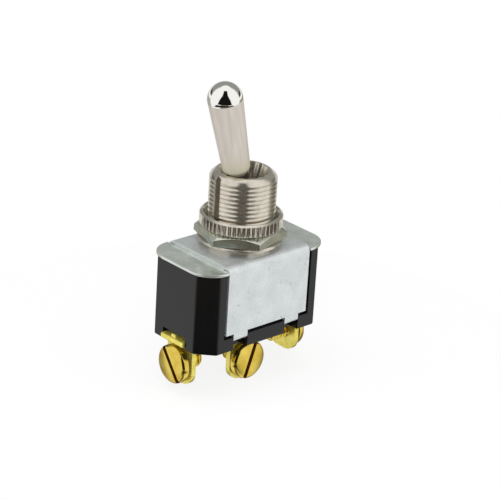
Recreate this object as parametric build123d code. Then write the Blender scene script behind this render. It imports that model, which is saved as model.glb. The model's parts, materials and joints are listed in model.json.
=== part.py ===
from build123d import *
from math import asin, atan2, cos, degrees, hypot, pi, radians, sin, sqrt, tan
import os

# A panel toggle switch with a bat lever, a threaded bushing and three screw terminals.
# It is a single pole changeover: the lever's sprung plunger tips a rocker that joins the
# middle terminal to one end terminal or the other.
# Origin on the bushing's axis, at the top face of the folded frame. +Z runs up the bushing,
# X runs along the case, and the lever is stored thrown towards -X.

# Clearances
running_gap = 0.05
face_gap = 0.05
contact_gap = 0.05

# Bushing
bushing_diameter = 11.9
nutted_thread_diameter = 11.4
bushing_height = 13.6
bushing_chamfer = 0.4
flange_margin = 0.455
flange_step = 0.8
flange_top = 1.5
flange_thickness = 0.6
neck_diameter = 10.8
rivet_lip_overhang = 0.3
rivet_lip_thickness = 0.7
bore_diameter = 9.0
throat_diameter = 7.0
throat_depth = 3.3
mouth_diameter = 9.0
keyway_width = 1.5
keyway_depth = 0.75
keyway_foot = 2.4

# Lever
lever_tilt = 14.7
pivot_height = 7.4
lever_length = 23.86
tip_diameter = 6.16
shank_diameter = 4.92
shank_start = 6.5
shank_chamfer = 0.8
neck_of_lever_diameter = 3.7
ball_diameter = 7.8
ball_flat = 1.6
tail_diameter = 3.4
tail_length = 11.6
spring_pocket_diameter = 2.3
spring_pocket_roof = 4.2
pin_diameter = 1.6
pin_length = 9.5
pin_groove_clearance = 0.1

# Plunger and its spring
plunger_gap = 0.2
plunger_stem_length = 5.4
spring_wire = 0.34
spring_diameter = 1.96
spring_turns = 3
spring_sides = 4

# Nuts
hex_across_flats = 14.29
hex_thickness = 1.95
hex_turn = 12.5
knurl_diameter = 14.2
knurl_band = 1.55
knurl_nut_thickness = 2.4
knurl_nut_crown_diameter = 13.9
knurl_depth = 0.32
knurl_count = 50
crown_chamfer = 0.35
nut_bore_chamfer = 0.5

# Folded frame
frame_sheet = 0.6
frame_length = 18.74
frame_shoulder = 2.72
frame_bend = 1.35
skirt_foot = 12.75
tab_width = 3.2
tab_spacing = 12.0
tab_foot = 14.25
tab_reach = 1.9

# Ear plate
ear_sheet = 0.5
ear_end_overhang = 0.19
ear_side_overhang = 0.18
ear_corner = 4.6
ear_notch_clearance = 0.12

# Case
case_length = 28.62
case_corner = 2.93
case_foot = 15.95
case_edge = 0.35
recess_margin = 0.5
recess_foot_gap = 0.6
end_wall = 1.51
side_wall = 1.7
cavity_corner = 1.5
floor_top = 12.6
ledge_depth = 1.4
ledge_margin = 0.3
window_width = 6.0
window_top = 13.7

# Fibre insulator
insulator_sheet = 0.5
insulator_clearance = 0.1
slot_clearance = 0.35

# Terminals and their screws
terminal_sheet = 1.0
strip_width = 5.8
plate_width = 6.7
plate_start_drop = 0.35
plate_corner = 2.4
plate_below_screw = 3.8
end_screw_drop = 3.85
middle_screw_drop = 5.45
middle_plate_face = 2.85
left_screw_lift = 0.65
right_screw_lift = 0.05
middle_screw_lift = 0.3
screw_head_diameter = 7.1
screw_head_thickness = 1.4
screw_head_chamfer = 0.3
screw_diameter = 3.5
screw_length = 4.76
screw_slot_width = 0.95
screw_slot_depth = 0.75
end_slot_turn = 37
middle_slot_turn = 19
leg_margin = 0.55
lug_reach = 2.05
lug_top = 14.6
lug_thickness = 1.0
nib_width = 1.2
nib_height = 0.6
nib_depth = 0.7

# Rocker, its saddle and the contacts
rocker_pivot = -8.4
rocker_sheet = 0.8
rocker_width = 4.4
rocker_slope = 18.0
rocker_shoulder = 4.6
rocker_end_gap = 1.55
rocker_knee_inset = 2.2
trunnion_diameter = 1.2
trunnion_reach = 3.35
saddle_sheet = 0.7
saddle_gap = 0.25
saddle_base_half_length = 2.2
saddle_ear_half_length = 1.5
saddle_ear_top = 0.75
contact_inset = 1.6
contact_diameter = 2.6
moving_contact_height = 0.6
fixed_contact_diameter = 3.0
fixed_contact_height = 0.885
rivet_diameter = 2.2
rivet_head_diameter = 3.4
rivet_head_height = 0.55

# Worked out from the sizes above
frame_width = neck_diameter + 2 * frame_shoulder
case_width = frame_width
rivet_lip_diameter = neck_diameter + 2 * rivet_lip_overhang
flange_diameter = hex_across_flats + 2 * flange_margin
flange_foot_diameter = flange_diameter - 2 * flange_step
plate_start = case_foot + plate_start_drop
end_screw_height = -case_foot - end_screw_drop
middle_screw_height = -case_foot - middle_screw_drop
ear_length = case_length + 2 * ear_end_overhang
ear_width = case_width + 2 * ear_side_overhang
ear_top = -frame_sheet
case_top = ear_top - ear_sheet
sheet_stack = frame_sheet + ear_sheet
lip_foot = -sheet_stack - rivet_lip_thickness
knurl_nut_foot = flange_top + 2 * face_gap + hex_thickness
knurl_nut_top = knurl_nut_foot + knurl_nut_thickness
ball_radius = ball_diameter / 2
tail_radius = tail_diameter / 2
plunger_radius = spring_pocket_diameter / 2 - running_gap
skirt_inner = frame_width / 2 - frame_sheet
recess_plane = skirt_inner - face_gap
recess_half_length = frame_length / 2 + recess_margin
recess_foot = -(skirt_foot + recess_foot_gap)
cavity_half_length = case_length / 2 - end_wall
cavity_half_width = recess_plane - side_wall
ledge_height = case_top - ledge_depth
leg_top = -floor_top + terminal_sheet
terminal_outer = cavity_half_length - face_gap
terminal_inner = terminal_outer - terminal_sheet
middle_inner = middle_plate_face - terminal_sheet
saddle_inner = rocker_width / 2 + saddle_gap
rocker_half_length = cavity_half_length - rocker_end_gap
contact_offset = rocker_half_length - contact_inset
rocker_knee = contact_offset - rocker_knee_inset
contact_crown = ((contact_diameter / 2) ** 2 + moving_contact_height ** 2) / (2 * moving_contact_height)
contact_drop = contact_crown - rocker_sheet / 2 - moving_contact_height
contact_fall = rocker_pivot - contact_crown - contact_gap - fixed_contact_height - leg_top
rocker_throw = degrees(asin(contact_fall / hypot(contact_offset, contact_drop))
                       + atan2(contact_drop, contact_offset))
arm_angle = radians(rocker_slope - rocker_throw)
plunger_reach = ((pivot_height - rocker_pivot) * cos(arm_angle) - rocker_sheet / 2 - plunger_radius
                 - plunger_gap) / cos(radians(lever_tilt) - arm_angle)
fixed_contact_place = contact_offset * cos(radians(rocker_throw)) + contact_drop * sin(radians(rocker_throw))
leg_inner = fixed_contact_place - fixed_contact_diameter / 2 - leg_margin
tilted = Pos(0, 0, pivot_height) * Rot(Y=-lever_tilt)
thrown = Pos(0, 0, rocker_pivot) * Rot(Y=rocker_throw)


def turned(*outline):
    """A solid turned about Z from its half section, as radius and height."""
    return revolve(Plane.XZ * make_face(Polyline(*outline, close=True)), Axis.Z, clean=False)


def block(x, y, z):
    """A box between two values on each axis."""
    corner = Location((min(x), min(y), min(z)))
    return corner * Box(abs(x[1] - x[0]), abs(y[1] - y[0]), abs(z[1] - z[0]), align=(Align.MIN,) * 3)


def rod(diameter, low, high):
    """A round bar on Z between two heights."""
    return Pos(0, 0, low) * Cylinder(diameter / 2, high - low, align=(Align.CENTER, Align.CENTER, Align.MIN))


def both_ways(shape, about):
    """A shape and its mirror image."""
    return [shape, mirror(shape, about)]


def save(shape, name):
    """Writes one sub-part."""
    shape.label = name
    export_step(shape, f"parts/{name}.step")


def make_bushing():
    """Threaded bushing with a foot flange, its riveted lip, and a bore that holds the ball.

    The thread is drawn at its pitch diameter where the nuts are, and at its outside above them.
    """
    outside = Rot(Z=180) * turned(
        (0, lip_foot), (rivet_lip_diameter / 2, lip_foot), (rivet_lip_diameter / 2, -sheet_stack),
        (neck_diameter / 2, -sheet_stack), (neck_diameter / 2, 0), (flange_foot_diameter / 2, 0),
        (flange_foot_diameter / 2, flange_top - flange_thickness),
        (flange_diameter / 2, flange_top - flange_thickness), (flange_diameter / 2, flange_top),
        (nutted_thread_diameter / 2, flange_top), (nutted_thread_diameter / 2, knurl_nut_top),
        (bushing_diameter / 2, knurl_nut_top),
        (bushing_diameter / 2, bushing_height - bushing_chamfer),
        (bushing_diameter / 2 - bushing_chamfer, bushing_height), (0, bushing_height))
    throat_top = bushing_height - throat_depth
    seat = pivot_height + sqrt((ball_radius + running_gap) ** 2 - (throat_diameter / 2) ** 2)
    bore = turned(
        (0, lip_foot), (bore_diameter / 2, lip_foot), (bore_diameter / 2, seat),
        (throat_diameter / 2, seat), (throat_diameter / 2, throat_top),
        (mouth_diameter / 2, bushing_height), (0, bushing_height))
    key = block((-bushing_diameter, -(bushing_diameter / 2 - keyway_depth)),
                (-keyway_width / 2, keyway_width / 2), (keyway_foot, bushing_height))
    groove_width = pin_diameter + 2 * pin_groove_clearance
    groove_half = pin_length / 2 + pin_groove_clearance
    pin_grooves = [block((-groove_width / 2, groove_width / 2), (side * bore_diameter / 4, side * groove_half),
                         (lip_foot, pivot_height + groove_width / 2)) for side in (-1, 1)]
    return outside - bore - key - pin_grooves[0] - pin_grooves[1]


def make_lever():
    """Bat lever: tapered shank, domed tip, pivot ball, and a tail bored for the spring."""
    tip_radius = tip_diameter / 2
    tip_centre = lever_length - tip_radius
    shank = shank_diameter / 2
    neck = neck_of_lever_diameter / 2
    pocket = spring_pocket_diameter / 2
    ball_foot = sqrt(ball_radius ** 2 - ball_flat ** 2)
    ball_top = sqrt(ball_radius ** 2 - neck ** 2)
    tip_high = tip_radius * sin(radians(45))
    with BuildPart() as bat:
        with BuildSketch(Plane.XZ):
            with BuildLine():
                tail = Polyline((0, -spring_pocket_roof), (pocket, -spring_pocket_roof), (pocket, -tail_length),
                                (tail_radius, -tail_length), (tail_radius, -ball_flat), (ball_foot, -ball_flat))
                ball = ThreePointArc(tail @ 1, (ball_radius, 0), (neck, ball_top))
                shank_side = Polyline(ball @ 1, (neck, shank_start), (shank - shank_chamfer, shank_start),
                                      (shank, shank_start + shank_chamfer), (tip_radius, tip_centre))
                dome = ThreePointArc(shank_side @ 1, (tip_high, tip_centre + tip_high), (0, lever_length))
                Line(dome @ 1, tail @ 0)
            make_face()
        revolve(axis=Axis.Z)
    cross_hole = Rot(X=90) * Cylinder(pin_diameter / 2, ball_diameter)
    return tilted * (bat.part - cross_hole)


def make_lever_pin():
    """Cross pin pressed through the ball, whose ends turn in the bushing's grooves."""
    return tilted * Rot(X=90) * Cylinder(pin_diameter / 2, pin_length)


def make_plunger():
    """Round-ended plunger that slides in the lever's tail and bears on the rocker."""
    stem_top = -(plunger_reach - plunger_stem_length)
    nose_high = plunger_radius * sin(radians(45))
    with BuildPart() as body:
        with BuildSketch(Plane.XZ):
            with BuildLine():
                nose = ThreePointArc((0, -plunger_reach - plunger_radius), (nose_high, -plunger_reach - nose_high),
                                     (plunger_radius, -plunger_reach))
                Polyline(nose @ 1, (plunger_radius, stem_top), (0, stem_top), nose @ 0)
            make_face()
        revolve(axis=Axis.Z)
    return tilted * body.part


def make_plunger_spring():
    """Coil spring between the roof of the tail's pocket and the plunger."""
    top = -spring_pocket_roof - face_gap - spring_wire / 2
    foot = -(plunger_reach - plunger_stem_length) + face_gap + spring_wire / 2
    radius = (spring_diameter - spring_wire) / 2
    path = Pos(0, 0, foot) * Helix(pitch=(top - foot) / spring_turns, height=top - foot, radius=radius)
    section = Plane(origin=path @ 0, z_dir=path % 0) * RegularPolygon(spring_wire / 2, spring_sides)
    return tilted * sweep(section, path=path, is_frenet=True)


def make_hex_nut():
    """Back nut, chamfered on top, turned as it sits in the photograph."""
    foot = flange_top + face_gap
    top = foot + hex_thickness
    flat = hex_across_flats / 2
    corner = flat / cos(radians(30))
    blank = Rot(Z=hex_turn) * extrude(RegularPolygon(flat, 6, major_radius=False), hex_thickness)
    crown = turned((0, foot), (corner, foot), (corner, top - (corner - flat * 0.95) * tan(radians(30))),
                   (flat * 0.95, top), (0, top))
    hole = bushing_diameter / 2 + running_gap
    bore = turned((0, foot), (hole, foot), (hole, top - nut_bore_chamfer / 2),
                  (hole + nut_bore_chamfer / 2, top), (0, top))
    return (Pos(0, 0, foot) * blank & crown) - bore


def make_knurled_nut():
    """Round face nut: a straight-knurled band with a smooth crown above it."""
    band_top = knurl_nut_foot + knurl_band
    outer = knurl_diameter / 2
    crown = knurl_nut_crown_diameter / 2
    points = []
    for tooth in range(knurl_count):
        for step, radius in ((0, outer), (0.5, outer - knurl_depth)):
            angle = 2 * pi * (tooth + step) / knurl_count
            points.append((radius * cos(angle), radius * sin(angle)))
    band = Pos(0, 0, knurl_nut_foot) * extrude(make_face(Polyline(*points, close=True)), knurl_band)
    band += turned((0, band_top), (crown, band_top), (crown, knurl_nut_top - crown_chamfer),
                   (crown - crown_chamfer, knurl_nut_top), (0, knurl_nut_top))
    hole = bushing_diameter / 2 + running_gap
    bore = turned((0, knurl_nut_foot), (hole, knurl_nut_foot), (hole, knurl_nut_top - nut_bore_chamfer),
                  (hole + nut_bore_chamfer, knurl_nut_top), (0, knurl_nut_top))
    return band - bore


def make_frame():
    """One strip folded over the case, with two tabs a side that hook under its ledges."""
    half = frame_width / 2
    inner_bend = frame_bend - frame_sheet
    outer = extrude(Plane.YZ * Pos(0, -skirt_foot / 2) * Rectangle(frame_width, skirt_foot),
                    frame_length / 2, both=True)
    outer = fillet(outer.edges().filter_by(Axis.X).group_by(Axis.Z)[-1], frame_bend)
    inner_height = skirt_foot - frame_sheet
    inner = extrude(Plane.YZ * Pos(0, -frame_sheet - inner_height / 2) * Rectangle(2 * skirt_inner, inner_height),
                    frame_length / 2, both=True)
    inner = fillet(inner.edges().filter_by(Axis.X).group_by(Axis.Z)[-1], inner_bend)
    shell = outer - inner
    for side in (-1, 1):
        for end in (-1, 1):
            centre = end * tab_spacing / 2
            span = (centre - tab_width / 2, centre + tab_width / 2)
            upright = block(span, (side * skirt_inner, side * half), (-tab_foot, -skirt_foot))
            hook = block(span, (side * (half - tab_reach), side * half), (-tab_foot, -tab_foot + frame_sheet))
            tab = upright + hook
            bend = tab.edges().filter_by(Axis.X).group_by(Axis.Z)[0].sort_by(Axis.Y)
            tab = fillet(bend[0] if side < 0 else bend[-1], frame_sheet * 0.9)
            shell += tab
    return shell - rod(neck_diameter + 2 * running_gap, -frame_sheet, 0)


def make_ear_plate():
    """Flat cover under the frame, whose rounded ends stand out beyond it as ears."""
    outline = RectangleRounded(ear_length, ear_width, ear_corner)
    notch_depth = ear_width / 2 - skirt_inner + (frame_bend - frame_sheet) + ear_notch_clearance
    notch_length = frame_length + 2 * ear_notch_clearance
    for side in (-1, 1):
        outline -= Pos(0, side * (ear_width - notch_depth) / 2) * Rectangle(notch_length, notch_depth)
    plate = Pos(0, 0, case_top) * extrude(outline, ear_sheet)
    return plate - rod(neck_diameter + 2 * running_gap, case_top, ear_top)


def cavity_block(margin, low, high):
    """The case's inside between two heights, with rounded corners."""
    outline = RectangleRounded(2 * (cavity_half_length + margin), 2 * (cavity_half_width + margin),
                               cavity_corner + margin)
    return Pos(0, 0, low) * extrude(outline, high - low)


def make_case():
    """Moulded case, open on top, with recesses for the frame and slots for the terminals."""
    outline = chamfer(Rectangle(case_length, case_width).vertices(), case_corner)
    case = Pos(0, 0, -case_foot) * extrude(outline, case_top + case_foot)
    case = chamfer(case.faces().sort_by(Axis.Z)[0].edges(), case_edge)
    case -= cavity_block(0, -floor_top, case_top)
    case -= cavity_block(ledge_margin, ledge_height, case_top)
    half = case_width / 2
    tab_inner = half - tab_reach - face_gap
    tab_roof = -tab_foot + frame_sheet + face_gap
    for side in (-1, 1):
        case -= block((-recess_half_length, recess_half_length), (side * recess_plane, side * 2 * half),
                      (recess_foot, case_top))
        for end in (-1, 1):
            centre = end * tab_spacing / 2
            span = (centre - tab_width / 2 - running_gap, centre + tab_width / 2 + running_gap)
            case -= block(span, (side * recess_plane, side * 2 * half), (tab_roof, recess_foot))
            case -= block(span, (side * tab_inner, side * 2 * half), (-case_foot, tab_roof))
    slot_half = strip_width / 2 + running_gap
    for end in (-1, 1):
        case -= block((end * cavity_half_length, end * case_length), (-window_width / 2, window_width / 2),
                      (-case_foot, -window_top))
        case -= block((end * (terminal_inner - face_gap), end * cavity_half_length), (-slot_half, slot_half),
                      (-case_foot, -floor_top))
    case -= block((-slot_half, slot_half), (-middle_plate_face - face_gap, -middle_inner + face_gap),
                  (-case_foot, -floor_top))
    rivet_hole = rod(rivet_diameter + 2 * running_gap, -case_foot, -floor_top)
    sink = rod(rivet_head_diameter + 4 * running_gap, -case_foot, -case_foot + rivet_head_height + face_gap)
    return case - rivet_hole - sink


def make_insulator():
    """Fibre sheet on the case's ledge, slotted for the lever's tail."""
    depth = pivot_height - ledge_height
    reach = depth * tan(radians(lever_tilt)) + tail_radius / cos(radians(lever_tilt)) + slot_clearance
    width = tail_diameter + 2 * slot_clearance
    margin = ledge_margin - insulator_clearance
    sheet = cavity_block(margin, ledge_height, ledge_height + insulator_sheet)
    slot = Pos(0, 0, ledge_height) * extrude(SlotOverall(2 * reach, width), insulator_sheet)
    return sheet - slot


def terminal_plate(top, screw_height):
    """A flat plate in the XZ plane: strip above, wider rounded plate below, tapped for its screw."""
    foot = screw_height - plate_below_screw
    strip = Pos(0, (top - plate_start) / 2) * Rectangle(strip_width, top + plate_start)
    plate = Pos(0, (foot - plate_start) / 2) * Rectangle(plate_width, -plate_start - foot)
    plate = fillet(plate.vertices().group_by(Axis.Y)[0], plate_corner)
    hole = Pos(0, screw_height) * Circle(screw_diameter / 2 + running_gap)
    return extrude(Plane.XZ * (strip + plate - hole), terminal_sheet)


def make_end_terminal():
    """Terminal at the -X end: plate, wire lug with its nib, and the leg under the contact."""
    plate = Rot(Z=-90) * terminal_plate(leg_top, end_screw_height)
    plate = Pos(-terminal_inner, 0, 0) * plate
    half = strip_width / 2
    leg = block((-terminal_outer, -leg_inner), (-half, half), (-floor_top, leg_top))
    lug_outer = terminal_outer + lug_reach
    lug = block((-lug_outer, -terminal_inner), (-half, half), (-lug_top - lug_thickness, -lug_top))
    edges = lug.edges().filter_by(Axis.Y).group_by(Axis.X)[0]
    lug = fillet(edges, lug_thickness * 0.3)
    nib = block((-lug_outer + nib_depth / 2, -lug_outer + 1.5 * nib_depth), (-nib_width / 2, nib_width / 2),
                (-lug_top - lug_thickness / 2, -lug_top + nib_height))
    nib = fillet(nib.edges().filter_by(Axis.X).group_by(Axis.Z)[-1], nib_height * 0.6)
    return plate + leg + lug + nib


def make_middle_terminal():
    """Common terminal: plate in front of the axis and a leg across the floor under the saddle."""
    plate = Pos(0, -middle_inner, 0) * terminal_plate(leg_top, middle_screw_height)
    half = strip_width / 2
    leg = block((-half, half), (-middle_plate_face, middle_plate_face), (-floor_top, leg_top))
    return plate + leg - rod(rivet_diameter + 2 * running_gap, -floor_top, leg_top)


def make_screw(place):
    """Slotted terminal screw, its head outwards along the place's Z and its slot along its X."""
    head = Pos(0, 0, -screw_head_thickness) * Cylinder(
        screw_head_diameter / 2, screw_head_thickness, align=(Align.CENTER, Align.CENTER, Align.MIN))
    head = chamfer(head.edges().group_by(Axis.Z)[-1], screw_head_chamfer)
    shank = rod(screw_diameter, -screw_head_thickness - screw_length, -screw_head_thickness)
    slot = Pos(0, 0, -screw_slot_depth) * Box(
        2 * screw_head_diameter, screw_slot_width, 2 * screw_slot_depth, align=(Align.CENTER, Align.CENTER, Align.MIN))
    return place * (head + shank - slot)


def screw_places():
    """Each screw's head centre, slot direction and outward direction, backed off by its lift."""
    end, middle = radians(end_slot_turn), radians(middle_slot_turn)
    left_face = terminal_outer + left_screw_lift + screw_head_thickness
    right_face = terminal_outer + right_screw_lift + screw_head_thickness
    middle_face = middle_plate_face + middle_screw_lift + screw_head_thickness
    return {
        "screw_left": Plane((-left_face, 0, end_screw_height), (0, sin(end), cos(end)), (-1, 0, 0)),
        "screw_right": Plane((right_face, 0, end_screw_height), (0, -sin(middle), cos(middle)), (1, 0, 0)),
        "screw_middle": Plane((0, -middle_face, middle_screw_height), (sin(middle), 0, cos(middle)),
                              (0, -1, 0)),
    }


def rocker_section():
    """Side view of the rocker about its pivot: a shallow V whose arms step down to the contacts."""
    shoulder_height = rocker_shoulder * tan(radians(rocker_slope))
    arm = [(rocker_shoulder, shoulder_height), (rocker_knee, 0), (rocker_half_length, 0)]
    line = Polyline(*[(-x, z) for x, z in reversed(arm)], (0, 0), *arm)
    return make_face(offset(line, rocker_sheet / 2, kind=Kind.INTERSECTION, side=Side.BOTH))


def make_rocker():
    """Tipping contact arm with two trunnions that sit in the saddle."""
    strip = extrude(Plane.XZ * rocker_section(), rocker_width / 2, both=True)
    trunnions = Rot(X=90) * Cylinder(trunnion_diameter / 2, 2 * trunnion_reach)
    trunnions -= block((-trunnion_diameter, trunnion_diameter), (-rocker_width / 2, rocker_width / 2),
                       (-trunnion_diameter, trunnion_diameter))
    return thrown * (strip + trunnions)


def make_moving_contact(end):
    """Domed contact button under one arm of the rocker."""
    foot = -rocker_sheet / 2
    ball = Pos(0, 0, contact_drop) * Sphere(contact_crown)
    button = ball & rod(contact_diameter, foot - moving_contact_height, foot)
    return thrown * Pos(end * contact_offset, 0, 0) * button


def make_fixed_contact(end):
    """Flat contact button on an end terminal's leg."""
    button = rod(fixed_contact_diameter, leg_top, leg_top + fixed_contact_height)
    return Pos(end * fixed_contact_place, 0, 0) * button


def make_saddle():
    """U-shaped bracket whose notched ears carry the rocker."""
    outer = saddle_inner + saddle_sheet
    base = block((-saddle_base_half_length, saddle_base_half_length), (-outer, outer),
                 (leg_top, leg_top + saddle_sheet))
    ear_top = rocker_pivot + saddle_ear_top
    notch_radius = trunnion_diameter / 2 + running_gap
    notch = Pos(0, 0, rocker_pivot) * Rot(X=90) * Cylinder(notch_radius, 3 * outer)
    notch += block((-notch_radius, notch_radius), (-2 * outer, 2 * outer), (rocker_pivot, ear_top))
    for side in (-1, 1):
        base += block((-saddle_ear_half_length, saddle_ear_half_length), (side * saddle_inner, side * outer),
                      (leg_top, ear_top))
    return base - notch - rod(rivet_diameter + 2 * running_gap, leg_top, leg_top + saddle_sheet)


def make_rivet():
    """Rivet that clamps the saddle and the middle terminal to the case's floor."""
    top = leg_top + saddle_sheet
    shank = rod(rivet_diameter, -case_foot, top)
    upper = rod(rivet_head_diameter, top, top + rivet_head_height)
    lower = rod(rivet_head_diameter, -case_foot, -case_foot + rivet_head_height)
    return shank + upper + lower


def main():
    """Builds every sub-part and writes it."""
    os.makedirs("parts", exist_ok=True)
    save(make_bushing(), "bushing")
    save(make_lever(), "lever")
    save(make_lever_pin(), "lever_pin")
    save(make_plunger(), "plunger")
    save(make_plunger_spring(), "plunger_spring")
    save(make_hex_nut(), "hex_nut")
    save(make_knurled_nut(), "knurled_nut")
    save(make_frame(), "frame")
    save(make_ear_plate(), "ear_plate")
    save(make_case(), "case")
    save(make_insulator(), "insulator")
    left, right = both_ways(make_end_terminal(), Plane.YZ)
    save(left, "terminal_left")
    save(right, "terminal_right")
    save(make_middle_terminal(), "terminal_middle")
    for name, place in screw_places().items():
        save(make_screw(place), name)
    save(make_rocker(), "rocker")
    for name, end in (("left", -1), ("right", 1)):
        save(make_moving_contact(end), f"moving_contact_{name}")
        save(make_fixed_contact(end), f"fixed_contact_{name}")
    save(make_saddle(), "rocker_saddle")
    save(make_rivet(), "centre_rivet")


main()
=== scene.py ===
import json
from math import atan2, cos, degrees, hypot, pi, radians, sin, sqrt

import bpy
from mathutils import Matrix, Vector

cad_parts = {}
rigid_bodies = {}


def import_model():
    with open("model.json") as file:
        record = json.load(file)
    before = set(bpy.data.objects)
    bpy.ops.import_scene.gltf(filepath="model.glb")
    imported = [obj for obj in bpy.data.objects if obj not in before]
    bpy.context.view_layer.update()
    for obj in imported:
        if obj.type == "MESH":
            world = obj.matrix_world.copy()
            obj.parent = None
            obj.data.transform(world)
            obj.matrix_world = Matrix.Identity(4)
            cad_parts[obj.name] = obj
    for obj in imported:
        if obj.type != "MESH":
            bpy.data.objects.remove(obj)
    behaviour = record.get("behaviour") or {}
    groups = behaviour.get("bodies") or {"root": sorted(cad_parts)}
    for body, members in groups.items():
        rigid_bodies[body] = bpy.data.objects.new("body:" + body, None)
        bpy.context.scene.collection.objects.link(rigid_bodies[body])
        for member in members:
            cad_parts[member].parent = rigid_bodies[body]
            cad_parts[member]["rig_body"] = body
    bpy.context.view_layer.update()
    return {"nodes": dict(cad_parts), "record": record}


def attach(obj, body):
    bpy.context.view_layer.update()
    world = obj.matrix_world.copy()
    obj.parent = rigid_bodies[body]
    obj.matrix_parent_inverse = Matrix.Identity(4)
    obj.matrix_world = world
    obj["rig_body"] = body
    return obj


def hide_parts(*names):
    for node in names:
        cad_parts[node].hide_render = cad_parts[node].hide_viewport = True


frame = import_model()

# A panel toggle switch: satin nickel bat lever, threaded bushing, zinc plated frame and ear
# plate over a black moulded case, and brass screw terminals.
# Sizes are millimetres, and mm turns them into Blender's metres.

nodes = frame["nodes"]
slots = {entry["node"]: entry["material_slot"] for entry in frame["record"]["subparts"]}
mm = 0.001

# Joints between solids: how far joined ones run into each other, and how far cutting and
# trimming ones stand past the faces they cross
lap = 0.05
clear = 0.01

# Bushing: its thread, its plain collar, its foot, its bore, its fluted mouth and its keyway
crest_radius, thread_depth = 5.95, 0.16
thread_pitch = 25.4 / 32
thread_low, thread_top = 1.5, 13.6
thread_buried = 0.3
collar_foot = 12.5
collar_outline = [(5.84, collar_foot - 2 * lap), (5.86, collar_foot + lap), (5.76, 12.75), (5.42, 13.12),
                  (5.08, 13.42), (4.86, 13.56), (4.72, thread_top)]
foot_outline = [(5.7, -1.8), (5.7, -1.1), (5.4, -1.1), (5.4, 0), (6.5, 0), (6.5, 0.7), (7.5, 0.95),
                (7.6, 1.05), (7.6, 1.4), (7.5, 1.5)]
bore_outline = [(4.5, -2), (4.5, 9.23), (3.5, 9.23), (3.5, 10.5)]
mouth_radius, mouth_taper, mouth_foot = 4.47, 0.74, 10.4
flutes, flute_steps, flute_depth = 17, 8, 0.11
keyway_width, keyway_floor, keyway_foot = 1.4, 5.2, 2.4

# Lever, measured from its pivot along its own axis
pivot_height, lever_tilt = 7.4, 14.7
ball_radius, ball_flat = 3.9, 1.6
tail_radius, tail_foot, pocket_radius, pocket_top = 1.7, -11.6, 1.15, -4.2
neck_radius = 1.85
shank_radius, shank_start, shank_round = 2.46, 6.5, 1.0
tip_radius, tip_centre = 3.078, 20.78

# Nuts
nut_bore = 6.0
hex_foot, hex_top = 1.55, 3.5
hex_corner, hex_turn = 8.25, 12.5
hex_chamfer_outline = [(8.4, 1), (8.4, 2.57), (6.79, hex_top)]
hex_sink_radius, hex_sink_foot = nut_bore + 0.3, hex_top - 0.25
knurl_foot, knurl_top, knurl_nut_top = 3.55, 5.6, 5.95
knurl_radius, knurl_root, knurl_teeth = 7.35, 6.96, 52
knurl_chamfer = 0.22
# One tooth in even steps round the nut, in quarters of the knurl's depth
knurl_tooth = (0, 0, 1, 2, 3, 4, 4, 3, 2, 1)
crown_outline = [(knurl_radius - 0.06, knurl_top + 0.03), (knurl_radius - 0.42, knurl_nut_top - 0.06),
                 (knurl_radius - 0.52, knurl_nut_top)]
sink_radius, sink_foot = 6.75, 5.05

# Folded frame and ear plate
sheet = 0.6
frame_half_length, frame_half_width, frame_bend = 9.37, 8.12, 1.35
skirt_foot = -12.75
tab_foot, tab_half, tab_place, tab_inner, tab_bend = -14.25, 1.6, 6.0, 6.22, 0.54
neck_hole = 5.45
ear_half_length, ear_half_width, ear_corner = 14.5, 8.3, 4.6
ear_low, ear_high = -1.1, -0.6
ear_notch_half, ear_notch_side = 9.49, 6.65

# Case
case_half_length, case_half_width, case_cut = 14.31, 8.12, 2.93
case_foot, case_top = -15.95, -1.1
cavity_half_length, cavity_half_width, cavity_floor = 12.8, 5.77, -12.6
ledge_half_length, ledge_half_width, ledge_floor = 13.1, 6.07, -2.5
recess_half_length, recess_side, recess_foot = 9.87, 7.47, -13.35
hook_top = -13.6
window_half, window_top = 3, -13.7
rivet_hole, rivet_sink, rivet_sink_top = 1.15, 1.8, -15.35
past_side, past_end, past_foot = 9, 16, -17

# Terminals and screws
strip_half, plate_half, plate_start, plate_corner = 2.9, 3.35, -16.3, 2.4
leg_top, leg_end = -11.6, 7.61
end_outer, end_inner, end_screw, end_foot = 12.75, 11.75, -19.8, -23.6
middle_outer, middle_inner, middle_screw, middle_foot = 2.85, 1.85, -21.4, -25.2
lug_outer, lug_low, lug_high, lug_round = 14.8, -15.6, -14.6, 0.3
nib_half, nib_round, nib_low, nib_shoulder, nib_inner, nib_outer = 0.6, 0.36, -15.1, -14.36, 13.75, 14.45
screw_hole = 1.8
head_radius, head_height, head_edge = 3.55, 1.4, 0.12
head_crown = [(0, -0.42), (0.08, -0.28), (0.3, -0.08), (0.48, 0)]
screw_crest, screw_root, screw_pitch, screw_end = 1.75, 1.42, 0.7, -6.16
point_inset, point_height = 0.2, 0.5
slot_half, slot_depth = 0.42, 0.75
left_head, right_head, middle_head = 14.8, 14.2, 4.55
end_slot_turn, middle_slot_turn = 37, 19

# Floor, and how much of it is plain white to the camera, so that the rest keeps the shadow
floor_height, floor_radius = -25.2, 60
floor_grey, floor_whiteness = 0.9, 0.85

# Lamps: place, size and power
lamps = {"top_lamp": ((-60, -20, 330), 240, 0.4), "front_lamp": ((-230, -250, 190), 200, 0.7)}

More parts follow.
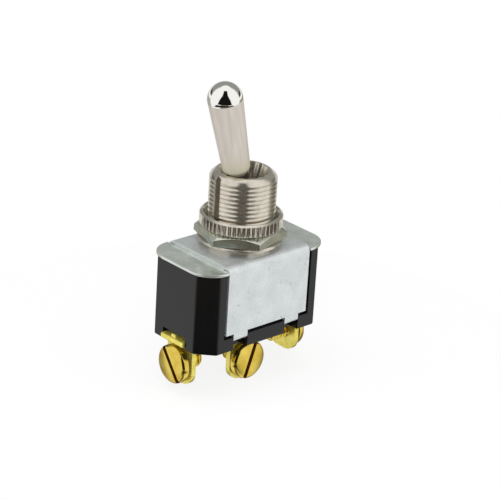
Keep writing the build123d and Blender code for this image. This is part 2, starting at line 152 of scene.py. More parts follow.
# Studio round the switch. Its front is turned to the photographer's side of the switch, and
# stays there in every view. It is white, with a dark gap in front between two white screens,
# and greyer zones behind.
studio_turn = 222.826
gap_half_widths = [(-1, 0.38), (-0.37, 0.38), (-0.335, 0.7), (-0.2, 0.66), (0, 0.62), (0.2, 0.55),
                   (0.4, 0.44), (0.6, 0.3), (0.94, 0.16)]
white = (1, 1, 1)
gap_brown, gap_black = (0.24, 0.21, 0.15), (0.008, 0.008, 0.007)
table_black = (0.012, 0.011, 0.008)
back_grey, corner_black = (0.3, 0.31, 0.3), (0.04, 0.04, 0.035)
low_right, low_left = (0.26, 0.24, 0.17), (0.42, 0.41, 0.37)

# Camera, fitted to the photograph
camera_place = Vector((-247.316, -266.847, 154.003))
view_direction = Vector((0.62857, 0.67120, -0.39294))
camera_roll = 3.481
focal_pixels, image_pixels = 2252.14, 500
sensor_width = 36.0


def only(piece):
    """Makes a piece the only selected and the active one."""
    bpy.ops.object.select_all(action="DESELECT")
    piece.select_set(True)
    bpy.context.view_layer.objects.active = piece


def named(name):
    """The piece just added, with its name on it and on its mesh."""
    piece = bpy.context.object
    piece.name = name
    piece.data.name = name
    return piece


def changed(piece, name, kind, **settings):
    """Adds a modifier to a piece and applies it."""
    change = piece.modifiers.new(name, kind)
    for key, value in settings.items():
        setattr(change, key, value)
    only(piece)
    bpy.ops.object.modifier_apply(modifier=change.name)


def one_point(name, place):
    """A new piece that is a single point, left in edit mode."""
    bpy.context.tool_settings.mesh_select_mode = (True, False, False)
    bpy.ops.object.select_all(action="DESELECT")
    bpy.ops.mesh.primitive_plane_add(size=mm)
    piece = named(name)
    bpy.ops.object.mode_set(mode="EDIT")
    bpy.ops.mesh.merge(type="CENTER")
    bpy.ops.transform.translate(value=place)
    return piece


def draw_out(step):
    """Draws the last point, edge or face of the open piece out by a step."""
    bpy.ops.mesh.extrude_region_move(TRANSFORM_OT_translate={"value": step})


def trace(name, points):
    """A new piece that is a wire through points, left in edit mode."""
    piece = one_point(name, Vector(points[0]) * mm)
    for start, end in zip(points, points[1:]):
        draw_out((Vector(end) - Vector(start)) * mm)
    bpy.ops.mesh.select_all(action="SELECT")
    bpy.ops.mesh.remove_doubles(threshold=0.000001)
    return piece


def close_up():
    """Turns the traced piece's faces outwards and leaves edit mode."""
    bpy.ops.mesh.select_all(action="SELECT")
    bpy.ops.mesh.normals_make_consistent(inside=False)
    bpy.ops.object.mode_set(mode="OBJECT")


def lathe(name, outline, steps=128, hollow=False):
    """A piece spun round Z from its half section of radius and height.

    A hollow one's section is closed on itself, any other's is closed to the axis."""
    section = outline + outline[:1] if hollow else [(0, outline[0][1])] + outline + [(0, outline[-1][1])]
    piece = trace(name, [(r, 0, z) for r, z in section])
    bpy.ops.mesh.spin(steps=steps, angle=2 * pi, center=(0, 0, 0), axis=(0, 0, 1))
    bpy.ops.mesh.select_all(action="SELECT")
    bpy.ops.mesh.remove_doubles(threshold=0.000001)
    close_up()
    return piece


def prism(name, outline, along, low, high):
    """A flat outline in the other two directions, filled and drawn out along one direction."""
    place = {"X": lambda a, b: (low, a, b), "Y": lambda a, b: (a, low, b), "Z": lambda a, b: (a, b, low)}
    piece = trace(name, [place[along](*point) for point in outline + outline[:1]])
    bpy.ops.mesh.edge_face_add()
    draw_out(Vector([high - low if direction == along else 0 for direction in "XYZ"]) * mm)
    close_up()
    return piece


def arc(centre_r, centre_z, radius, start, end, steps):
    """Points of an arc in a half section, angles from the radius direction in degrees."""
    turn = [radians(start + (end - start) * i / steps) for i in range(steps + 1)]
    return [(centre_r + radius * cos(a), centre_z + radius * sin(a)) for a in turn]


def box_piece(name, x, y, z):
    """A box between two values on each axis."""
    bpy.ops.object.select_all(action="DESELECT")
    middle = Vector([(low + high) / 2 for low, high in (x, y, z)]) * mm
    size = Vector([high - low for low, high in (x, y, z)]) * mm
    bpy.ops.mesh.primitive_cube_add(size=1, location=middle, scale=size)
    bpy.ops.object.transform_apply(location=True, rotation=False, scale=True)
    return named(name)


def drum(name, radius, centre, axis, length, steps=48):
    """A round bar along X, Y or Z."""
    turn = {"X": (0, pi / 2, 0), "Y": (pi / 2, 0, 0), "Z": (0, 0, 0)}[axis]
    bpy.ops.object.select_all(action="DESELECT")
    bpy.ops.mesh.primitive_cylinder_add(vertices=steps, radius=radius * mm, depth=length * mm,
                                        location=Vector(centre) * mm, rotation=turn)
    bpy.ops.object.transform_apply(location=True, rotation=True, scale=True)
    return named(name)


def combine(piece, tool, how):
    """Joins, cuts or keeps the common part of two pieces; the second is used up."""
    changed(piece, how.lower(), "BOOLEAN", operation=how, solver="EXACT", object=tool)
    bpy.data.objects.remove(tool, do_unlink=True)


def cut(piece, *tools):
    """Cuts each tool out of a piece."""
    for tool in tools:
        combine(piece, tool, "DIFFERENCE")


def threaded_rod(name, root, crest, pitch, low, high, steps):
    """A right-handed threaded rod round Z with flat ends."""
    spare_turns = 2
    crest_flat, root_flat = pitch / 4, pitch / 6
    flank = (pitch - crest_flat - root_flat) / 2
    depth = crest - root
    rod = one_point(name, (root * mm, 0, (low - spare_turns * pitch) * mm))
    for out, rise in ((0, root_flat), (depth, flank), (0, crest_flat), (-depth, flank)):
        draw_out((out * mm, 0, rise * mm))
    bpy.ops.object.mode_set(mode="OBJECT")
    changed(rod, "thread", "SCREW", axis="Z", angle=2 * pi, screw_offset=pitch * mm,
            iterations=int((high - low) / pitch) + 2 * spare_turns + 1, steps=steps, render_steps=steps,
            use_merge_vertices=True, merge_threshold=0.000001)
    bpy.ops.object.mode_set(mode="EDIT")
    bpy.ops.mesh.select_all(action="SELECT")
    bpy.ops.mesh.remove_doubles(threshold=0.000001)
    for height, above in ((low, False), (high, True)):
        bpy.ops.mesh.select_all(action="SELECT")
        bpy.ops.mesh.bisect(plane_co=(0, 0, height * mm), plane_no=(0, 0, 1), use_fill=True,
                            clear_inner=not above, clear_outer=above, threshold=0.00000001)
    close_up()
    return rod


def again(piece, name, change):
    """A copy of a piece with its own mesh, moved by a matrix."""
    copy = piece.copy()
    copy.data = piece.data.copy()
    copy.name = name
    copy.data.name = name
    bpy.context.scene.collection.objects.link(copy)
    copy.data.transform(change)
    return copy


def scale_points(piece, chosen, factor):
    """Moves the chosen points of a piece towards Z by a factor."""
    bpy.ops.object.mode_set(mode="EDIT")
    bpy.ops.mesh.select_all(action="DESELECT")
    bpy.ops.object.mode_set(mode="OBJECT")
    for point in piece.data.vertices:
        point.select = chosen(point.co / mm)
    bpy.ops.object.mode_set(mode="EDIT")
    bpy.ops.transform.resize(value=(factor, factor, 1), center_override=(0, 0, 0))
    bpy.ops.object.mode_set(mode="OBJECT")


def soften(piece, width, steps=2, angle=40):
    """Small rounds on the sharp edges."""
    changed(piece, "soft_edges", "BEVEL", width=width * mm, segments=steps, limit_method="ANGLE",
            angle_limit=radians(angle), miter_outer="MITER_ARC")


def settle(piece, node, material, angle=32):
    """Puts a finished piece on its node's body, in its node's place, with its material.

    Edges flatter than the angle are shaded smooth, and the large flat faces stay flat."""
    piece.data.materials.clear()
    piece.data.materials.append(material)
    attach(piece, nodes[node]["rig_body"])
    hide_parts(node)
    only(piece)
    bpy.ops.object.shade_smooth_by_angle(angle=radians(angle))
    changed(piece, "even_normals", "WEIGHTED_NORMAL", keep_sharp=True)


def linear(colour):
    """A hexadecimal sRGB colour as linear values."""
    parts = [int(colour[i:i + 2], 16) / 255 for i in (1, 3, 5)]
    return tuple(v / 12.92 if v <= 0.04045 else ((v + 0.055) / 1.055) ** 2.4 for v in parts)


class Nodes:
    """A node tree, built a node at a time. Colours are linear."""

    def __init__(self, tree):
        self.tree = tree

    def add(self, kind, **settings):
        node = self.tree.nodes.new(kind)
        for key, value in settings.items():
            setattr(node, key, value)
        return node

    def feed(self, value, socket):
        """Gives a socket another socket's value, a fixed number or a fixed colour."""
        if isinstance(value, tuple):
            socket.default_value = (*value, 1)
        elif isinstance(value, (int, float)):
            socket.default_value = value
        else:
            self.tree.links.new(value, socket)

    def ramp(self, source, *stops):
        """A colour ramp from position and colour pairs."""
        ramp = self.add("ShaderNodeValToRGB")
        elements = ramp.color_ramp.elements
        while len(elements) < len(stops):
            elements.new(0.5)
        for element, (place, colour) in zip(elements, stops):
            element.position = place
            element.color = (*colour, 1)
        self.feed(source, ramp.inputs["Fac"])
        return ramp.outputs["Color"]

    def spread(self, source, low, high, start=0.3, end=0.7, curve="LINEAR"):
        """Maps a range, or else a noise's middle range, onto two values."""
        node = self.add("ShaderNodeMapRange", interpolation_type=curve)
        for name, value in (("From Min", start), ("From Max", end), ("To Min", low), ("To Max", high)):
            node.inputs[name].default_value = value
        self.feed(source, node.inputs["Value"])
        return node.outputs["Result"]

    def ease(self, source, start, end):
        """None at the start, all at the end, and soft in between."""
        return self.spread(source, 0, 1, start, end, "SMOOTHSTEP")

    def sum_up(self, how, first, *others):
        """One kind of sum over two or more values."""
        for other in others:
            node = self.add("ShaderNodeMath", operation=how)
            self.feed(first, node.inputs[0])
            self.feed(other, node.inputs[1])
            first = node.outputs["Value"]
        return first

    def mix(self, share, first, second):
        """Blends two colours."""
        node = self.add("ShaderNodeMix", data_type="RGBA")
        self.feed(share, node.inputs["Factor"])
        colours = [entry for entry in node.inputs if entry.type == "RGBA"]
        self.feed(first, colours[0])
        self.feed(second, colours[1])
        return [entry for entry in node.outputs if entry.type == "RGBA"][0]


class Surface(Nodes):
    """A material, procedural on the piece's own coordinates."""

    def __init__(self, name):
        self.material = bpy.data.materials.new(name)
        self.material.use_nodes = True
        super().__init__(self.material.node_tree)
        self.shader = self.tree.nodes["Principled BSDF"]
        self.coordinates = self.add("ShaderNodeTexCoord").outputs["Object"]

    def noise(self, scale, detail=3.0, stretch=(1, 1, 1)):
        """Noise, stretched along the piece's own directions."""
        mapping = self.add("ShaderNodeMapping")
        mapping.inputs["Scale"].default_value = stretch
        noise = self.add("ShaderNodeTexNoise")
        noise.inputs["Scale"].default_value = scale
        noise.inputs["Detail"].default_value = detail
        self.feed(self.coordinates, mapping.inputs["Vector"])
        self.feed(mapping.outputs["Vector"], noise.inputs["Vector"])
        return noise.outputs["Fac"]

    def bump(self, source, strength):
        """A relief of a few thousandths of a millimetre."""
        node = self.add("ShaderNodeBump")
        node.inputs["Strength"].default_value = strength
        node.inputs["Distance"].default_value = 0.004 * mm
        self.feed(source, node.inputs["Height"])
        self.feed(node.outputs["Normal"], self.shader.inputs["Normal"])


def plated(name, dark, light, roughness, patch=900, metal=1.0, specks=None):
    """A plated or plain metal with faint cloudy patches, a fine grain and perhaps a few specks."""
    surface = Surface(name)
    surface.shader.inputs["Metallic"].default_value = metal
    patches = surface.noise(patch)
    colour = surface.ramp(patches, (0.3, linear(dark)), (0.7, linear(light)))
    if specks:
        spots = surface.spread(surface.noise(1300, detail=1), 0, 0.55, 0.68, 0.76)
        colour = surface.mix(spots, colour, linear(specks))
    surface.feed(colour, surface.shader.inputs["Base Color"])
    fine = surface.noise(9000, detail=2)
    surface.feed(surface.spread(fine, *roughness), surface.shader.inputs["Roughness"])
    surface.bump(fine, 0.3)
    return surface.material


def lever_finish():
    """The lever's nickel: a mirror bright dome over a satin shank with faint lengthwise streaks.

    The satin turns yellower towards the foot, a painted reflection of the bushing's mouth, and is painted
    dark inside the bushing, a painted shade."""
    surface = Surface("lever_nickel")
    turned = surface.add("ShaderNodeMapping")
    turned.inputs["Rotation"].default_value = (0, radians(lever_tilt), 0)
    surface.feed(surface.coordinates, turned.inputs["Vector"])
    surface.coordinates = turned.outputs["Vector"]
    split = surface.add("ShaderNodeSeparateXYZ")
    surface.feed(surface.coordinates, split.inputs["Vector"])
    along = split.outputs["Z"]
    pivot = pivot_height * cos(radians(lever_tilt))
    dome_edge = (pivot + tip_centre) * mm
    shank_foot = pivot + shank_start
    dome = surface.spread(along, 0, 1, dome_edge - 0.2 * mm, dome_edge)
    streaks = surface.noise(1400, stretch=(1, 1, 0.12))
    satin = surface.ramp(streaks, (0.3, linear("#cdc4ba")), (0.7, linear("#dbd3ca")))
    # Painted reflection: the satin's colour turns yellower towards the shank's foot, standing for the
    # bushing mouth's reflection
    low = surface.spread(along, 1, 0, shank_foot * mm, (shank_foot + 5) * mm)
    satin = surface.mix(low, satin, linear("#cfc8ae"))
    # Painted shade: the ball and neck are painted dark where the lever goes down into the bushing
    inside = surface.spread(along, 1, 0, (shank_foot - 0.3) * mm, (shank_foot + 0.35) * mm)
    satin = surface.mix(inside, satin, linear("#3a3428"))
    surface.feed(surface.mix(dome, satin, linear("#f3f1ec")), surface.shader.inputs["Base Color"])
    surface.feed(surface.spread(dome, 0.5, 0.05, 0, 1), surface.shader.inputs["Roughness"])
    surface.feed(dome, surface.shader.inputs["Metallic"])
    surface.shader.inputs["Specular IOR Level"].default_value = 0.3
    surface.bump(streaks, 0.3)
    return surface.material


def moulded(name, dark, light, roughness, sheen=0.5):
    """A moulded material with a faint orange-peel skin."""
    surface = Surface(name)
    surface.shader.inputs["Specular IOR Level"].default_value = sheen
    skin = surface.noise(1500, detail=4)
    colour = surface.ramp(skin, (0.3, linear(dark)), (0.7, linear(light)))
    surface.feed(colour, surface.shader.inputs["Base Color"])
    surface.feed(surface.spread(surface.noise(700), *roughness), surface.shader.inputs["Roughness"])
    surface.bump(skin, 0.4)
    return surface.material


nickel = plated("nickel_plate", "#cdc6b8", "#dbd4c7", (0.15, 0.22), metal=0.94)
thread_nickel = plated("thread_nickel", "#cdc6b8", "#dbd4c7", (0.17, 0.24), metal=0.92)
lever_nickel = lever_finish()
zinc = plated("zinc_plate", "#b9bdb6", "#cfd2cd", (0.24, 0.36), patch=500)
nut_zinc = plated("nut_zinc", "#c1c5b7", "#d6d9cd", (0.16, 0.26), patch=600, metal=0.94)
frame_zinc = plated("frame_zinc", "#cacfd0", "#dadede", (0.2, 0.3), patch=350, metal=0.6, specks="#9aa0a2")
ear_zinc = plated("ear_zinc", "#c4ccc3", "#dee3dd", (0.14, 0.24), patch=400, metal=0.7)
steel = plated("drawn_steel", "#8c8c8c", "#a8a8a8", (0.3, 0.4))
brass = plated("plain_brass", "#d8c850", "#f3e67a", (0.16, 0.28), patch=700, metal=0.62)
screw_brass = plated("screw_brass", "#cfae3c", "#e8d066", (0.14, 0.24), patch=450)
# Painted shade: a dark brown brass for the screw slots' walls and floor, standing for the shade inside the
# slots
slot_painted_shade = plated("slot_painted_shade", "#5e3c0c", "#7a5216", (0.4, 0.55))
silver = plated("silver_contact", "#c9c9c6", "#dededb", (0.25, 0.35))
phenolic = moulded("black_moulding", "#0b0b0c", "#0f0f11", (0.1, 0.16), sheen=0.34)
pale_moulding = moulded("pale_moulding", "#bdb089", "#cabf9c", (0.35, 0.45))
fibre = moulded("pressed_fibre", "#4a2418", "#5c3022", (0.7, 0.8))

finishes = {"nickel": nickel, "zinc": zinc, "steel": steel, "moulded_black": phenolic,
            "moulded_pale": pale_moulding, "fibre": fibre, "brass": brass, "silver": silver}


def finish_cad():
    """Gives every CAD node its slot's material."""
    for name, slot in slots.items():
        nodes[name].data.materials.clear()
        nodes[name].data.materials.append(finishes[slot])


def make_bushing():
    """Threaded bushing with its foot, its bore, its fluted mouth and its keyway."""
    rod = threaded_rod("bushing_threaded", crest_radius - thread_depth, crest_radius, thread_pitch,
                       thread_low - thread_buried, thread_top, 96)
    wide = crest_radius + clear
    combine(rod, lathe("envelope", [(wide, thread_low - 1), (wide, collar_foot)]), "INTERSECT")
    combine(rod, lathe("collar", collar_outline), "UNION")
    combine(rod, lathe("foot", foot_outline), "UNION")
    cut(rod, lathe("bore", bore_outline))
    turns = [2 * pi * step / (flutes * flute_steps) for step in range(flutes * flute_steps)]
    radii = [mouth_radius + flute_depth * cos(flutes * turn) for turn in turns]
    outline = [(radius * cos(turn), radius * sin(turn)) for turn, radius in zip(turns, radii)]
    mouth = prism("fluted_mouth", outline, "Z", mouth_foot, thread_top + 0.2)
    scale_points(mouth, lambda place: place.z < mouth_foot + 1, mouth_taper)
    cut(rod, mouth, box_piece("keyway", (-7, -keyway_floor), (-keyway_width / 2, keyway_width / 2),
                              (keyway_foot, 14)))
    settle(rod, "bushing", thread_nickel, 20)


def make_lever():
    """Bat lever with its domed tip, pivot ball and bored tail."""
    ball_low = degrees(atan2(ball_flat, sqrt(ball_radius ** 2 - ball_flat ** 2)))
    ball_high = degrees(atan2(sqrt(ball_radius ** 2 - neck_radius ** 2), neck_radius))
    outline = [(pocket_radius, pocket_top), (pocket_radius, tail_foot), (tail_radius, tail_foot),
               (tail_radius, -ball_flat)]
    outline += arc(0, 0, ball_radius, -ball_low, ball_high, 24) + [(neck_radius, shank_start)]
    outline += arc(shank_radius - shank_round, shank_start + shank_round, shank_round, -67, 0, 8)
    lever = lathe("bat_lever", outline + arc(0, tip_centre, tip_radius, 0, 90, 24))
    lever.data.transform(Matrix.Translation((0, 0, pivot_height * mm))
                         @ Matrix.Rotation(-radians(lever_tilt), 4, "Y"))
    settle(lever, "lever", lever_nickel)


def make_hex_nut():
    """Hex nut with its corners chamfered on top."""
    nut = drum("hex_nut_piece", hex_corner, (0, 0, (hex_foot + hex_top) / 2), "Z", hex_top - hex_foot, 6)
    nut.data.transform(Matrix.Rotation(radians(hex_turn - 30), 4, "Z"))
    combine(nut, lathe("crown", hex_chamfer_outline), "INTERSECT")
    cut(nut, lathe("bore", [(nut_bore, 1), (nut_bore, hex_sink_foot), (hex_sink_radius, hex_top + lap)]))
    soften(nut, 0.06)
    settle(nut, "hex_nut", nut_zinc)


def make_knurled_nut():
    """Round nut, straight knurled to its chamfer, with a wide countersink above its thread."""
    outline = [(nut_bore, knurl_foot), (knurl_root, knurl_foot), (knurl_radius, knurl_foot + knurl_chamfer),
               (knurl_radius, knurl_top)]
    outline += crown_outline + [(sink_radius, knurl_nut_top), (nut_bore, sink_foot)]
    steps = knurl_teeth * len(knurl_tooth)
    nut = lathe("knurled_nut_piece", outline, steps, True)
    for quarters in (1, 2, 3, 4):
        def chosen(place):
            step = round(atan2(place.y, place.x) / (2 * pi) * steps) % len(knurl_tooth)
            return knurl_tooth[step] == quarters and hypot(place.x, place.y) > knurl_radius - clear

        scale_points(nut, chosen, 1 - (knurl_radius - knurl_root) * quarters / 4 / knurl_radius)
    settle(nut, "knurled_nut", nickel)


def make_frame():
    """One strip folded over the case, with two tabs a side that hook under its ledges."""
    side, inner, flat = frame_half_width, frame_half_width - sheet, frame_half_width - frame_bend
    outline = [(-side, skirt_foot)] + arc(-flat, -frame_bend, frame_bend, 180, 90, 10)
    outline += arc(flat, -frame_bend, frame_bend, 90, 0, 10) + [(side, skirt_foot)]
    outline += [(inner, skirt_foot)] + arc(flat, -frame_bend, frame_bend - sheet, 0, 90, 8)
    outline += arc(-flat, -frame_bend, frame_bend - sheet, 90, 180, 8) + [(-inner, skirt_foot)]
    strip = prism("folded_frame", outline, "X", -frame_half_length, frame_half_length)
    profile = [(inner, skirt_foot + lap), (side, skirt_foot + lap)]
    profile += arc(side - tab_bend, tab_foot + tab_bend, tab_bend, 0, -90, 6)
    profile += [(tab_inner, tab_foot), (tab_inner, tab_foot + sheet), (inner, tab_foot + sheet)]
    tab = prism("tab", profile, "X", tab_place - tab_half, tab_place + tab_half)
    half_turn = Matrix.Rotation(pi, 4, "Z")
    along = Matrix.Translation((-2 * tab_place * mm, 0, 0))
    others = [again(tab, "tab_copy", change) for change in (along, half_turn, half_turn @ along)]
    for piece in [tab] + others:
        combine(strip, piece, "UNION")
    cut(strip, drum("hole", neck_hole, (0, 0, 0), "Z", 3, 96))
    soften(strip, 0.07)
    settle(strip, "frame", frame_zinc)


def make_ear_plate():
    """Flat cover under the frame with rounded ears at its two ends."""
    x, y = ear_half_length - ear_corner, ear_half_width - ear_corner
    outline = (arc(x, y, ear_corner, 0, 90, 14) + arc(-x, y, ear_corner, 90, 180, 14)
               + arc(-x, -y, ear_corner, 180, 270, 14) + arc(x, -y, ear_corner, 270, 360, 14))
    plate = prism("ear_plate_piece", outline, "Z", ear_low, ear_high)
    for side in (-1, 1):
        cut(plate, box_piece("notch", (-ear_notch_half, ear_notch_half),
                             sorted((side * ear_notch_side, side * past_side)), (-2, 0)))
    cut(plate, drum("hole", neck_hole, (0, 0, -1), "Z", 3, 96))
    soften(plate, 0.09)
    settle(plate, "ear_plate", ear_zinc)


def make_case():
    """Moulded case, open on top, with recesses for the frame and slots for the terminals."""
    x, y, cut_off = case_half_length, case_half_width, case_cut
    outline = [(x, y - cut_off), (x - cut_off, y), (cut_off - x, y), (-x, y - cut_off),
               (-x, cut_off - y), (cut_off - x, -y), (x - cut_off, -y), (x, cut_off - y)]
    case = prism("moulded_case", outline, "Z", case_foot, case_top)
    soften(case, 0.3, 4, 30)
    cut(case, box_piece("cavity", (-cavity_half_length, cavity_half_length),
                        (-cavity_half_width, cavity_half_width), (cavity_floor, 0)),
        box_piece("ledge", (-ledge_half_length, ledge_half_length),
                  (-ledge_half_width, ledge_half_width), (ledge_floor, 0)))
    for side in (-1, 1):
        cuts = [((-recess_half_length, recess_half_length), recess_side, (recess_foot, 0))]
        for end in (-1, 1):
            span = (end * tab_place - tab_half - lap, end * tab_place + tab_half + lap)
            cuts += [(span, recess_side, (hook_top - lap, recess_foot + lap)),
                     (span, tab_inner - lap, (past_foot, hook_top))]
        for span, near, heights in cuts:
            cut(case, box_piece("recess", span, sorted((side * near, side * past_side)), heights))
    slot_side, slot_top = strip_half + lap, cavity_floor + 2 * lap
    for end in (-1, 1):
        cut(case, box_piece("window", sorted((end * cavity_half_length, end * past_end)),
                            (-window_half, window_half), (past_foot, window_top)),
            box_piece("slot", sorted((end * (end_inner - lap), end * (end_outer + 2 * lap))),
                      (-slot_side, slot_side), (past_foot, slot_top)))
    cut(case, box_piece("slot", (-slot_side, slot_side), (-middle_outer - lap, -middle_inner + lap),
                        (past_foot, slot_top)),
        drum("rivet_hole", rivet_hole, (0, 0, -14), "Z", 6, 32),
        drum("rivet_sink", rivet_sink, (0, 0, rivet_sink_top - 1), "Z", 2, 32))
    soften(case, 0.12, 2, 50)
    settle(case, "case", phenolic)


def terminal_outline(top, foot):
    """A terminal seen flat: narrow strip above, wider plate with round lower corners below."""
    centre = plate_half - plate_corner
    outline = [(strip_half, top), (strip_half, plate_start), (plate_half, plate_start)]
    outline += arc(centre, foot + plate_corner, plate_corner, 0, -90, 10)
    outline += arc(-centre, foot + plate_corner, plate_corner, -90, -180, 10)
    return outline + [(-plate_half, plate_start), (-strip_half, plate_start), (-strip_half, top)]


def make_terminals():
    """Two end terminals with wire lugs and nibs, and the middle one."""
    plate = prism("terminal_left_piece", terminal_outline(leg_top, end_foot), "X", -end_outer, -end_inner)
    combine(plate, box_piece("leg", (-end_outer + 2 * lap, -leg_end), (-strip_half, strip_half),
                             (cavity_floor, leg_top)), "UNION")
    lug_profile = (arc(-lug_outer + lug_round, lug_high - lug_round, lug_round, 90, 180, 4)
                   + arc(-lug_outer + lug_round, lug_low + lug_round, lug_round, 180, 270, 4)
                   + [(-end_inner - 2 * lap, lug_low), (-end_inner - 2 * lap, lug_high)])
    combine(plate, prism("lug", lug_profile, "Y", -strip_half, strip_half), "UNION")
    nib_profile = ([(-nib_half, nib_low)] + arc(nib_round - nib_half, nib_shoulder, nib_round, 180, 90, 4)
                   + arc(nib_half - nib_round, nib_shoulder, nib_round, 90, 0, 4) + [(nib_half, nib_low)])
    combine(plate, prism("nib", nib_profile, "X", -nib_outer, -nib_inner), "UNION")
    cut(plate, drum("screw_hole", screw_hole, (-12, 0, end_screw), "X", 3))
    soften(plate, 0.06)
    other = again(plate, "terminal_right_piece", Matrix.Rotation(pi, 4, "Z"))
    settle(plate, "terminal_left", brass)
    settle(other, "terminal_right", brass)
    middle = prism("terminal_middle_piece", terminal_outline(leg_top, middle_foot), "Y",
                   -middle_outer, -middle_inner)
    combine(middle, box_piece("leg", (-strip_half, strip_half), (-middle_outer + 2 * lap, middle_outer),
                              (cavity_floor, leg_top)), "UNION")
    cut(middle, drum("rivet_hole", rivet_hole, (0, 0, -12), "Z", 3, 32),
        drum("screw_hole", screw_hole, (0, -2, middle_screw), "Y", 3))
    soften(middle, 0.06)
    settle(middle, "terminal_middle", brass)


def make_screws():
    """Three slotted screws, modelled once with the head's top at the origin."""
    outline = [(head_radius - head_edge, -head_height), (head_radius, -head_height + head_edge)]
    outline += [(head_radius - inset, level) for inset, level in head_crown]
    head = lathe("screw", outline, 96)
    shank = threaded_rod("shank", screw_root, screw_crest, screw_pitch, screw_end, -head_height + lap, 40)
    wide = screw_crest + 2 * clear
    point = lathe("point", [(screw_root - point_inset, screw_end - clear), (wide, screw_end + point_height),
                            (wide, 0)], 64)
    combine(shank, point, "INTERSECT")
    combine(head, shank, "UNION")
    cut(head, box_piece("slot", (-4, 4), (-slot_half, slot_half), (-slot_depth, 1)))
    end, middle = radians(end_slot_turn), radians(middle_slot_turn)
    # Each screw's place, the direction of its slot and the way that its head faces
    places = {
        "screw_left": ((-left_head, 0, end_screw), (0, sin(end), cos(end)), (-1, 0, 0)),
        "screw_right": ((right_head, 0, end_screw), (0, -sin(middle), cos(middle)), (1, 0, 0)),
        "screw_middle": ((0, -middle_head, middle_screw), (sin(middle), 0, cos(middle)), (0, -1, 0)),
    }
    for node, (origin, along_slot, outwards) in places.items():
        x, z = Vector(along_slot), Vector(outwards)
        y = z.cross(x)
        axes = Matrix((x, y, z)).transposed().to_4x4()
        piece = again(head, node + "_piece", Matrix.Translation(Vector(origin) * mm) @ axes)
        settle(piece, node, screw_brass)
        # The slot's walls and floor take the painted shade
        piece.data.materials.append(slot_painted_shade)
        for face in piece.data.polygons:
            place = face.center / mm - Vector(origin)
            if -slot_depth - lap < place.dot(z) < -0.1 and abs(place.dot(y)) < slot_half + 2 * clear:
                face.material_index = 1
    bpy.data.objects.remove(head, do_unlink=True)


def make_floor():
    """A pale round floor just under the middle terminal, which keeps the switch's shadow."""
    bpy.ops.object.select_all(action="DESELECT")
    bpy.ops.mesh.primitive_circle_add(vertices=96, radius=floor_radius * mm, fill_type="NGON",
                                      location=(0, 0, floor_height * mm))
    floor = named("floor")
    surface = Surface("floor")
    surface.shader.inputs["Base Color"].default_value = (floor_grey, floor_grey, floor_grey, 1)
    surface.shader.inputs["Roughness"].default_value = 1
    surface.shader.inputs["Specular IOR Level"].default_value = 0
    seen = surface.add("ShaderNodeLightPath").outputs["Is Camera Ray"]
    both = surface.add("ShaderNodeMixShader")
    surface.feed(surface.sum_up("MULTIPLY", seen, floor_whiteness), both.inputs["Fac"])
    surface.feed(surface.shader.outputs["BSDF"], both.inputs[1])
    surface.feed(surface.add("ShaderNodeEmission").outputs["Emission"], both.inputs[2])
    surface.feed(both.outputs["Shader"], surface.tree.nodes["Material Output"].inputs["Surface"])
    floor.data.materials.append(surface.material)
    floor.visible_glossy = False


def soft_lamp(name, place, size, power):
    """A square soft lamp that faces the switch."""
    data = bpy.data.lights.new(name, "AREA")
    data.size = size * mm
    data.energy = power
    lamp = bpy.data.objects.new(name, data)
    bpy.context.scene.collection.objects.link(lamp)
    lamp.location = Vector(place) * mm
    lamp.rotation_euler = Vector(place).to_track_quat("Z", "Y").to_euler()
    lamp.visible_glossy = False


def make_camera():
    """The photograph's camera: its place, its roll and its focal length."""
    data = bpy.data.cameras.new("camera")
    data.sensor_width = sensor_width
    data.lens = focal_pixels * sensor_width / image_pixels
    data.clip_start, data.clip_end = 0.01, 10
    camera = bpy.data.objects.new("camera", data)
    bpy.context.scene.collection.objects.link(camera)
    back = -view_direction.normalized()
    right = Vector((0, 0, 1)).cross(back).normalized()
    up = back.cross(right)
    roll = radians(camera_roll)
    turned_right = right * cos(roll) + up * sin(roll)
    turned_up = up * cos(roll) - right * sin(roll)
    axes = Matrix((turned_right, turned_up, back)).transposed()
    camera.matrix_world = Matrix.Translation(camera_place * mm) @ axes.to_4x4()
    bpy.context.scene.camera = camera


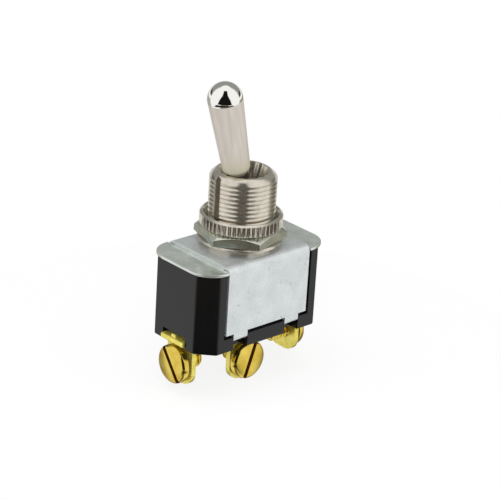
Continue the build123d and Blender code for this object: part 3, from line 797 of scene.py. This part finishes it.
def make_world():
    """The studio. A direction in it has a part across, one towards its front, and a height."""
    world = bpy.data.worlds.new("studio")
    bpy.context.scene.world = world
    world.use_nodes = True
    studio = Nodes(world.node_tree)
    turn = studio.add("ShaderNodeMapping")
    turn.inputs["Rotation"].default_value = (0, 0, radians(studio_turn))
    studio.feed(studio.add("ShaderNodeTexCoord").outputs["Generated"], turn.inputs["Vector"])
    split = studio.add("ShaderNodeSeparateXYZ")
    studio.feed(turn.outputs["Vector"], split.inputs["Vector"])
    across, towards, height = split.outputs
    aside = studio.sum_up("ABSOLUTE", across, 0)
    ease = studio.ease

    def where(*shares):
        """The share of a zone that lies in all the given ones."""
        return studio.sum_up("MULTIPLY", *shares)

    level = where(studio.sum_up("ADD", height, 1), 0.5)
    half_width = studio.ramp(level, *(((place + 1) / 2, (width,) * 3) for place, width in gap_half_widths))
    in_front, behind = ease(towards, 0, 0.1), ease(towards, -0.12, -0.4)
    in_gap = ease(studio.sum_up("SUBTRACT", aside, half_width), 0.03, -0.03)
    gap = where(in_gap, in_front, ease(height, 0.97, 0.93))
    table = where(ease(height, -0.66, -0.6), ease(height, -0.4, -0.44), ease(aside, 0.84, 0.74), in_front)
    upper = where(behind, ease(height, 0.02, 0.12), ease(height, 0.93, 0.86))
    corner = where(ease(aside, 0.55, 0.75), ease(height, 0.4, 0.2))
    lower = where(ease(towards, -0.15, -0.35), ease(height, -0.05, -0.2))

    colour = studio.mix(lower, white, studio.mix(ease(across, -0.05, 0.15), low_right, low_left))
    colour = studio.mix(upper, colour, studio.mix(corner, back_grey, corner_black))
    colour = studio.mix(gap, colour, studio.mix(ease(height, -0.38, -0.33), gap_brown, gap_black))
    colour = studio.mix(table, colour, table_black)
    seen = studio.add("ShaderNodeLightPath").outputs["Is Camera Ray"]
    studio.feed(studio.mix(seen, colour, white), studio.tree.nodes["Background"].inputs["Color"])


finish_cad()
make_bushing()
make_lever()
make_hex_nut()
make_knurled_nut()
make_frame()
make_ear_plate()
make_case()
make_terminals()
make_screws()
make_floor()
for name, (place, size, power) in lamps.items():
    soft_lamp(name, place, size, power)
make_camera()
make_world()
bpy.context.scene.view_settings.view_transform = "Standard"
